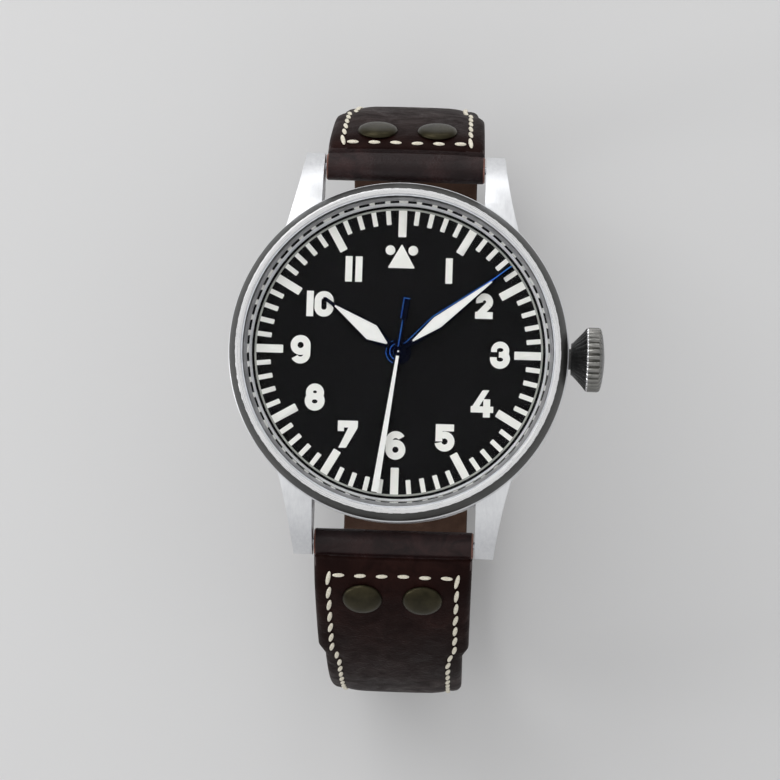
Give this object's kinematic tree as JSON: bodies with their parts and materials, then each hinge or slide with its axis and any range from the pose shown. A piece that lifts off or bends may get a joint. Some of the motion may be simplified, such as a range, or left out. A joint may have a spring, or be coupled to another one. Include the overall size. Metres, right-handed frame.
{
  "type": "pilot watch",
  "caption": "Round wristwatch with a dark pilot dial, blued hands, faceted crown, mechanical movement and a riveted leather strap closed by a pin buckle.",
  "frame": {"origin": "centre of the flat case back, on the axis of the hands", "axes": "+Z out through the dial, +Y towards twelve o'clock along the strap, +X towards the crown"},
  "size_m": [0.0465, 0.0776, 0.0626],
  "materials": {
    "case_steel": "fine satin",
    "bezel_steel": "circular satin top, sloping flank",
    "polished_steel": "polished",
    "crown_steel": "polished flutes",
    "crystal": "clear, slightly domed",
    "gasket_nylon": "translucent nylon",
    "gasket_rubber": "soft",
    "dial_black": "matt",
    "dial_print": "matt print",
    "blued_steel": "polished heat-blued steel",
    "lume": "matt luminous fill",
    "nickel_plate": "nickel-plated brass",
    "gilt_brass": "gilt",
    "movement_steel": "ground",
    "spring_steel": "polished",
    "rotor_metal": "heavy alloy, satin",
    "ruby": "polished synthetic ruby",
    "strap_leather": "smooth dark brown",
    "lining_leather": "matt tan",
    "rivet_brass": "aged bronze"
  },
  "bodies": {
    "case_body": {"balance_cock": "nickel_plate", "barrel_bridge": "nickel_plate", "bezel": "bezel_steel", "buckle_bar": "polished_steel", "buckle_frame": "polished_steel", "case_clamps": "movement_steel", "case_middle": "case_steel", "caseback": "case_steel", "caseback_gasket": "gasket_rubber", "crown_tube": "polished_steel", "crystal": "crystal", "crystal_gasket": "gasket_nylon", "dial": "dial_black", "hairspring": "spring_steel", "jewels": "ruby", "keeper_fixed": "strap_leather", "mainplate": "nickel_plate", "minute_track": "dial_print", "movement_ring": "nickel_plate", "movement_screws": "movement_steel", "numerals": "dial_print", "rehaut_ring": "polished_steel", "rotor_bearing": "movement_steel", "spring_bar_12": "spring_steel", "spring_bar_6": "spring_steel", "strap_lining": "lining_leather", "strap_long": "strap_leather", "strap_rivets": "rivet_brass", "strap_short": "strap_leather", "train_bridge": "nickel_plate", "triangle_marker": "dial_print"},
    "seconds_body": {"fourth_wheel": "gilt_brass", "seconds_hand": "blued_steel", "seconds_hand_lume": "lume"},
    "minutes_body": {"center_wheel": "gilt_brass", "cannon_pinion": "gilt_brass", "minute_hand": "blued_steel", "minute_hand_lume": "lume"},
    "hours_body": {"hour_wheel": "gilt_brass", "hour_hand": "blued_steel", "hour_hand_lume": "lume"},
    "third_body": {"third_wheel": "gilt_brass"},
    "motion_body": {"minute_wheel": "gilt_brass"},
    "escape_body": {"escape_wheel": "movement_steel"},
    "barrel_body": {"mainspring_barrel": "gilt_brass", "mainspring": "spring_steel"},
    "fork_body": {"pallet_fork": "movement_steel"},
    "balance_body": {"balance_wheel": "gilt_brass"},
    "clutch_body": {"sliding_clutch": "movement_steel", "winding_pinion": "movement_steel"},
    "crown_body": {"crown": "crown_steel", "winding_stem": "movement_steel", "crown_gasket": "gasket_rubber"},
    "crown_wheel_body": {"crown_wheel": "movement_steel"},
    "ratchet_body": {"ratchet_wheel": "movement_steel", "barrel_arbor": "movement_steel"},
    "rotor_body": {"rotor": "rotor_metal"},
    "tongue_body": {"buckle_tongue": "polished_steel"},
    "keeper_body": {"keeper_free": "strap_leather"}
  },
  "joints": [
    {"name": "seconds_turn", "type": "hinge", "parent": "case_body", "child": "seconds_body", "pos_m": [0, 0, 0.0088], "axis": [0, 0, -1], "continuous": true},
    {"name": "minutes_turn", "type": "hinge", "parent": "case_body", "child": "minutes_body", "pos_m": [0, 0, 0.0084], "axis": [0, 0, -1], "continuous": true},
    {"name": "hours_turn", "type": "hinge", "parent": "case_body", "child": "hours_body", "pos_m": [0, 0, 0.008], "axis": [0, 0, -1], "continuous": true},
    {"name": "third_turn", "type": "hinge", "parent": "case_body", "child": "third_body", "pos_m": [-0.00225, -0.0039, 0.0043], "axis": [0, 0, -1], "continuous": true},
    {"name": "motion_turn", "type": "hinge", "parent": "case_body", "child": "motion_body", "pos_m": [0.0024, 0, 0.0065], "axis": [0, 0, -1], "continuous": true},
    {"name": "escape_turn", "type": "hinge", "parent": "case_body", "child": "escape_body", "pos_m": [-0.00442, 0.00015, 0.0043], "axis": [0, 0, -1], "continuous": true},
    {"name": "barrel_turn", "type": "hinge", "parent": "case_body", "child": "barrel_body", "pos_m": [0.00315, 0.00546, 0.0044], "axis": [0, 0, -1], "continuous": true},
    {"name": "fork_swing", "type": "hinge", "parent": "case_body", "child": "fork_body", "pos_m": [-0.00587, 0.00237, 0.0046], "axis": [0, 0, 1], "range_deg": [-4, 4]},
    {"name": "balance_swing", "type": "hinge", "parent": "case_body", "child": "balance_body", "pos_m": [-0.00693, 0.004, 0.0042], "axis": [0, 0, 1], "range_deg": [-270, 270]},
    {"name": "winding_turn", "type": "hinge", "parent": "case_body", "child": "clutch_body", "pos_m": [0.01, 0, 0.0046], "axis": [1, 0, 0], "continuous": true},
    {"name": "crown_pull", "type": "slide", "parent": "clutch_body", "child": "crown_body", "axis": [1, 0, 0], "range_m": [0, 0.0014]},
    {"name": "crown_wheel_turn", "type": "hinge", "parent": "case_body", "child": "crown_wheel_body", "pos_m": [0.0065, 0, 0.0024], "axis": [0, 0, 1], "continuous": true},
    {"name": "ratchet_turn", "type": "hinge", "parent": "case_body", "child": "ratchet_body", "pos_m": [0.00315, 0.00546, 0.0024], "axis": [0, 0, 1], "continuous": true},
    {"name": "rotor_turn", "type": "hinge", "parent": "case_body", "child": "rotor_body", "pos_m": [0, 0, 0.0016], "axis": [0, 0, 1], "continuous": true},
    {"name": "tongue_swing", "type": "hinge", "parent": "case_body", "child": "tongue_body", "pos_m": [0, 0.00381, -0.0462], "axis": [1, 0, 0], "range_deg": [0, 12]},
    {"name": "keeper_slide", "type": "slide", "parent": "case_body", "child": "keeper_body", "axis": [0, 1, 0], "range_m": [0, 0.003]}
  ],
  "couplings": [
    {"joint": "minutes_turn", "follows": "seconds_turn", "ratio": 0.016667},
    {"joint": "hours_turn", "follows": "seconds_turn", "ratio": 0.0013889},
    {"joint": "third_turn", "follows": "seconds_turn", "ratio": -0.13333},
    {"joint": "motion_turn", "follows": "seconds_turn", "ratio": -0.0055556},
    {"joint": "escape_turn", "follows": "seconds_turn", "ratio": -12},
    {"joint": "barrel_turn", "follows": "seconds_turn", "ratio": -0.0020833},
    {"joint": "crown_wheel_turn", "follows": "winding_turn", "ratio": 0.42857},
    {"joint": "ratchet_turn", "follows": "winding_turn", "ratio": -0.33333}
  ]
}
